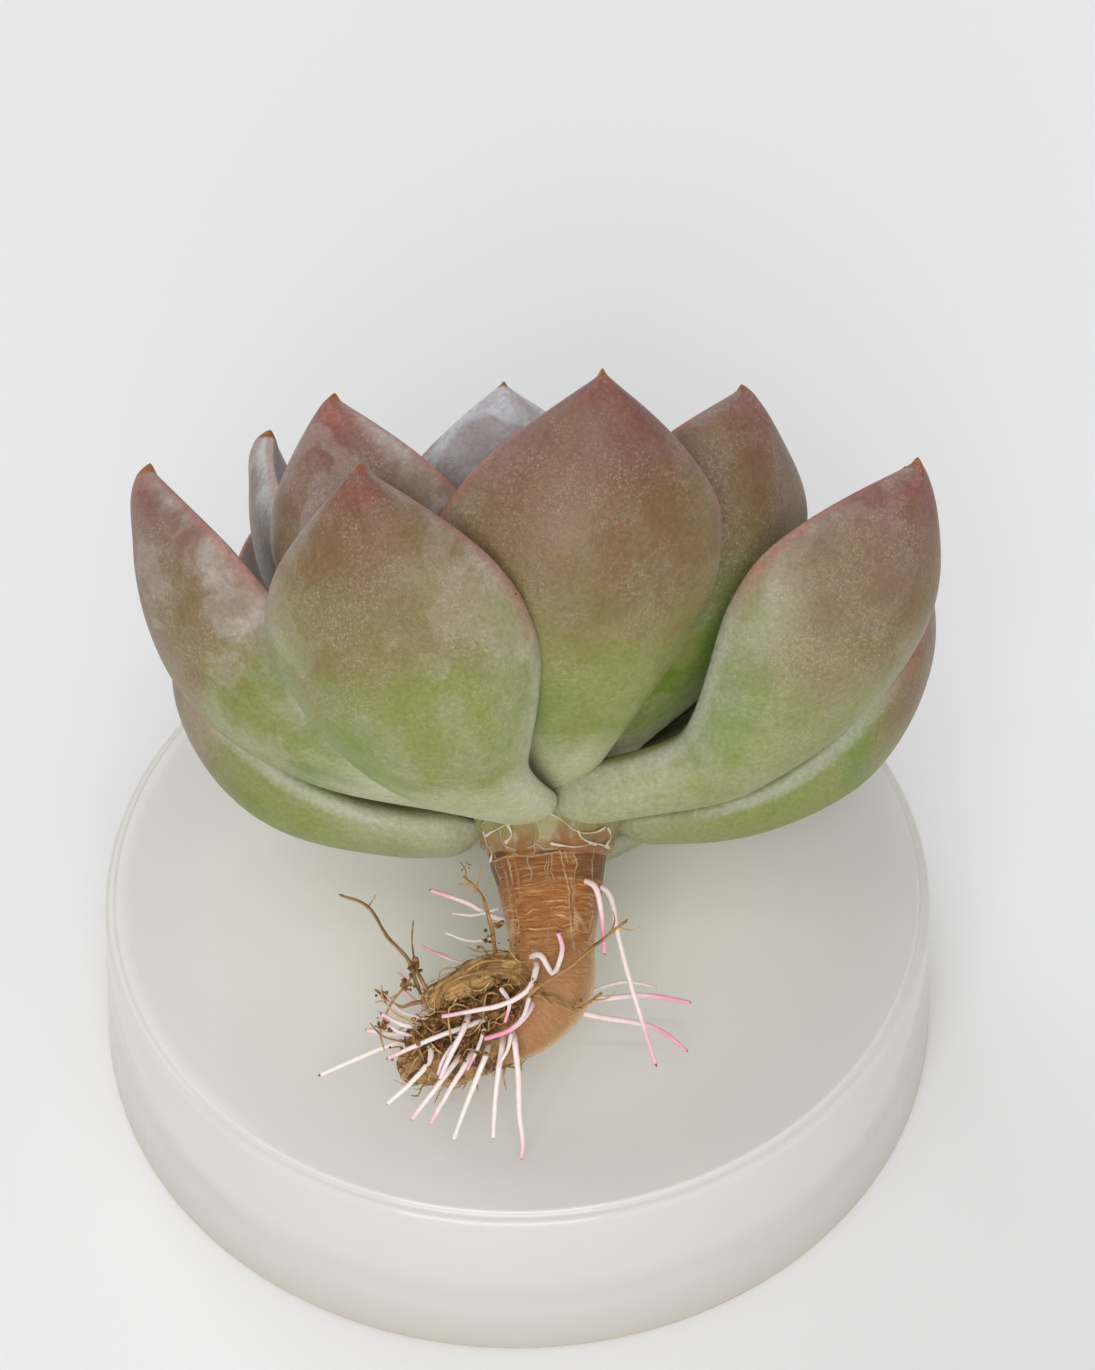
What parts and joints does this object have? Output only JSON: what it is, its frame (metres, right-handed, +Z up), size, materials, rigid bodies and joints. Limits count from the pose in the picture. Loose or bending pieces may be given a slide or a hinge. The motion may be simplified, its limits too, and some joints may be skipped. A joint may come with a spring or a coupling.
{
  "type": "bare-root rosette succulent on an upturned tub",
  "caption": "Fleshy rosette succulent with a short woody stem and bare fresh roots, lying on the closed end of an upturned translucent plastic tub.",
  "frame": {"origin": "middle of the tub's round foot, on the surface it stands on", "axes": "+Z up out of the tub's closed end, -Y towards the side the bare roots point to, +X to the right seen from there"},
  "size_m": [0.0826, 0.0826, 0.0869],
  "materials": {
    "tub_plastic": "frosted translucent",
    "leaf_flesh": "waxy with a powdery bloom",
    "bark": "dry, finely lined",
    "new_root": "moist satin",
    "old_root": "dry"
  },
  "bodies": {
    "root": {"tub": "tub_plastic", "leaf_01": "leaf_flesh", "leaf_02": "leaf_flesh", "leaf_03": "leaf_flesh", "leaf_04": "leaf_flesh", "leaf_05": "leaf_flesh", "leaf_06": "leaf_flesh", "leaf_07": "leaf_flesh", "leaf_08": "leaf_flesh", "leaf_09": "leaf_flesh", "leaf_10": "leaf_flesh", "leaf_11": "leaf_flesh", "leaf_12": "leaf_flesh", "leaf_13": "leaf_flesh", "leaf_14": "leaf_flesh", "leaf_15": "leaf_flesh", "leaf_16": "leaf_flesh", "leaf_17": "leaf_flesh", "leaf_18": "leaf_flesh", "leaf_19": "leaf_flesh", "leaf_20": "leaf_flesh", "leaf_21": "leaf_flesh", "leaf_22": "leaf_flesh", "leaf_23": "leaf_flesh", "leaf_24": "leaf_flesh", "leaf_25": "leaf_flesh", "leaf_26": "leaf_flesh", "leaf_27": "leaf_flesh", "leaf_28": "leaf_flesh", "stem": "bark", "bark_flap": "bark", "new_root_01": "new_root", "new_root_02": "new_root", "new_root_03": "new_root", "new_root_04": "new_root", "new_root_05": "new_root", "new_root_06": "new_root", "new_root_07": "new_root", "new_root_08": "new_root", "new_root_09": "new_root", "new_root_10": "new_root", "new_root_11": "new_root", "new_root_12": "new_root", "new_root_13": "new_root", "new_root_14": "new_root", "new_root_15": "new_root", "new_root_16": "new_root", "new_root_17": "new_root", "new_root_18": "new_root", "new_root_19": "new_root", "new_root_20": "new_root", "old_root_1": "old_root", "old_root_2": "old_root", "old_root_3": "old_root", "old_root_4": "old_root", "old_root_5": "old_root"}
  },
  "joints": []
}
